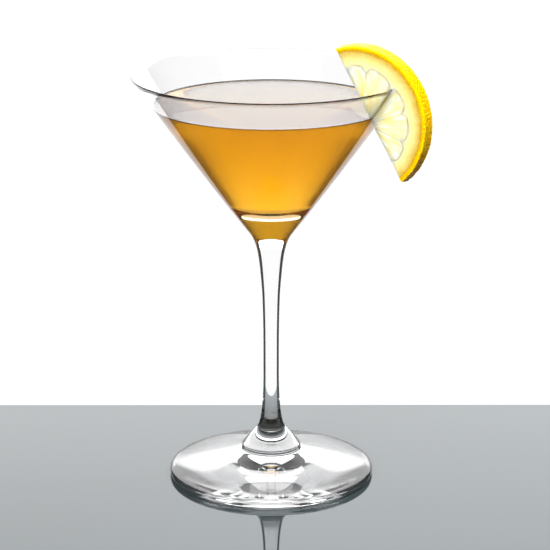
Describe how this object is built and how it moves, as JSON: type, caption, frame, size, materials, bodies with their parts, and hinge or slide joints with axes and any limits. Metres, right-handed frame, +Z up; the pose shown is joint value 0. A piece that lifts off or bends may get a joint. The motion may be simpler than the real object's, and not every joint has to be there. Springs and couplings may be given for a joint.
{
  "type": "cocktail in a stemmed glass",
  "caption": "Amber cocktail in a wide conical bowl on a drawn stem and a round foot, with a half wheel of lemon pushed over the rim.",
  "frame": {"origin": "centre of the flat underside of the foot", "axes": "+Z up along the stem; the lemon half wheel stands in the X-Z plane on the +X side of the rim"},
  "size_m": [0.1295, 0.114, 0.1884],
  "materials": {
    "clear_glass": "polished clear glass, smooth and colourless",
    "amber_drink": "clear amber liquid with a slight haze",
    "lemon": "fresh lemon: waxy pored rind, white pith, wet pale yellow flesh"
  },
  "bodies": {
    "root": {"glass": "clear_glass", "drink": "amber_drink", "lemon_slice": "lemon"}
  },
  "joints": []
}
